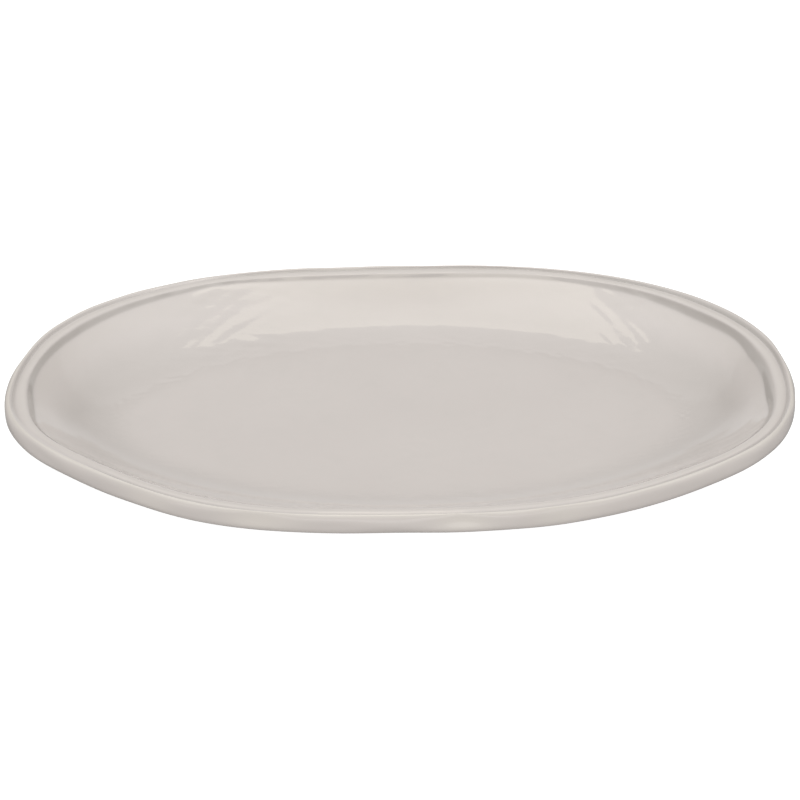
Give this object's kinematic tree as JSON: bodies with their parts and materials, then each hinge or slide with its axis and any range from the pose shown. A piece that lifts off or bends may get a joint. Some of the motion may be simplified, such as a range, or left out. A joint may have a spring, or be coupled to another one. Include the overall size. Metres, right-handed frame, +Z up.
{
  "type": "serving platter",
  "caption": "Large oval stoneware serving platter with a flat floor, a sloping wall, a thick rolled rim with two ridges, a bare foot ring and a pale grey-beige glaze.",
  "frame": {"origin": "centre of the outline, on the surface that the foot stands on", "axes": "+X along the platter's length, +Y across its width, +Z up"},
  "size_m": [0.4628, 0.3174, 0.033],
  "materials": {
    "fired_clay": "matte",
    "foot_clay": "matte",
    "greige_glaze": "glossy",
    "base_glaze": "glossy"
  },
  "bodies": {
    "root": {"clay_body": "fired_clay", "foot_ring": "foot_clay", "glaze_coat": "greige_glaze", "glaze_base": "base_glaze"}
  },
  "joints": []
}
